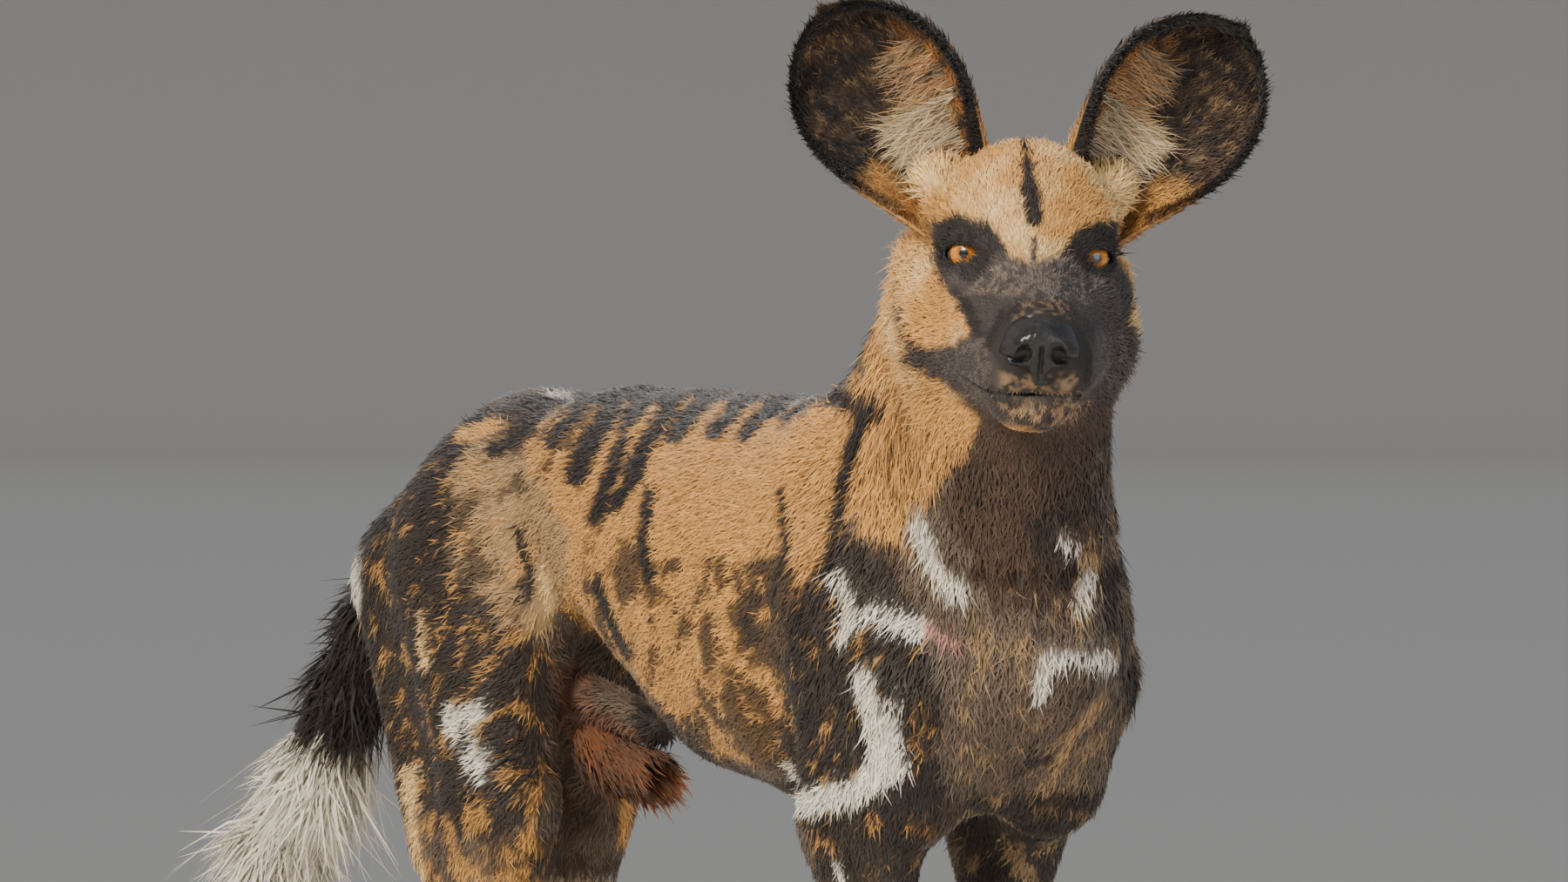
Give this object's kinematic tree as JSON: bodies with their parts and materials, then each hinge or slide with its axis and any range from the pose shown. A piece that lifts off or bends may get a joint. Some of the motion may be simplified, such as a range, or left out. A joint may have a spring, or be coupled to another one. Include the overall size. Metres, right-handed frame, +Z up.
{
  "type": "african wild dog model",
  "caption": "Life-size still model of a standing african wild dog, head turned to its right, with large round ears, patched coat and a hanging brush tail.",
  "frame": {"origin": "middle of the footprint of the whole model, on the floor under its paws", "axes": "+X towards the animal's chest, +Y to its left, +Z up"},
  "size_m": [1.1236, 0.2468, 0.8862],
  "materials": {
    "tan_coat": "matte short hair, patched with dark brown and white",
    "dark_coat": "matte dark brown hair",
    "white_coat": "long off-white hair",
    "russet_coat": "reddish brown tuft of the sheath",
    "nose_leather": "wet, near-black, finely pebbled",
    "eye_amber": "clear gloss over an amber iris",
    "claw_horn": "satin horn"
  },
  "bodies": {
    "root": {"belly_tuft": "russet_coat", "ear_left": "dark_coat", "ear_right": "dark_coat", "eye_left": "eye_amber", "eye_right": "eye_amber", "forearm_left": "tan_coat", "forearm_right": "tan_coat", "forepaw_claw_1_left": "claw_horn", "forepaw_claw_1_right": "claw_horn", "forepaw_claw_2_left": "claw_horn", "forepaw_claw_2_right": "claw_horn", "forepaw_claw_3_left": "claw_horn", "forepaw_claw_3_right": "claw_horn", "forepaw_claw_4_left": "claw_horn", "forepaw_claw_4_right": "claw_horn", "forepaw_left": "tan_coat", "forepaw_right": "tan_coat", "head": "tan_coat", "hindpaw_claw_1_left": "claw_horn", "hindpaw_claw_1_right": "claw_horn", "hindpaw_claw_2_left": "claw_horn", "hindpaw_claw_2_right": "claw_horn", "hindpaw_claw_3_left": "claw_horn", "hindpaw_claw_3_right": "claw_horn", "hindpaw_claw_4_left": "claw_horn", "hindpaw_claw_4_right": "claw_horn", "hindpaw_left": "tan_coat", "hindpaw_right": "tan_coat", "hock_left": "tan_coat", "hock_right": "tan_coat", "neck": "tan_coat", "nose": "nose_leather", "shank_left": "tan_coat", "shank_right": "tan_coat", "tail": "dark_coat", "tail_brush": "white_coat", "thigh_left": "tan_coat", "thigh_right": "tan_coat", "torso": "tan_coat", "upper_arm_left": "tan_coat", "upper_arm_right": "tan_coat", "wrist_left": "tan_coat", "wrist_right": "tan_coat"}
  },
  "joints": []
}
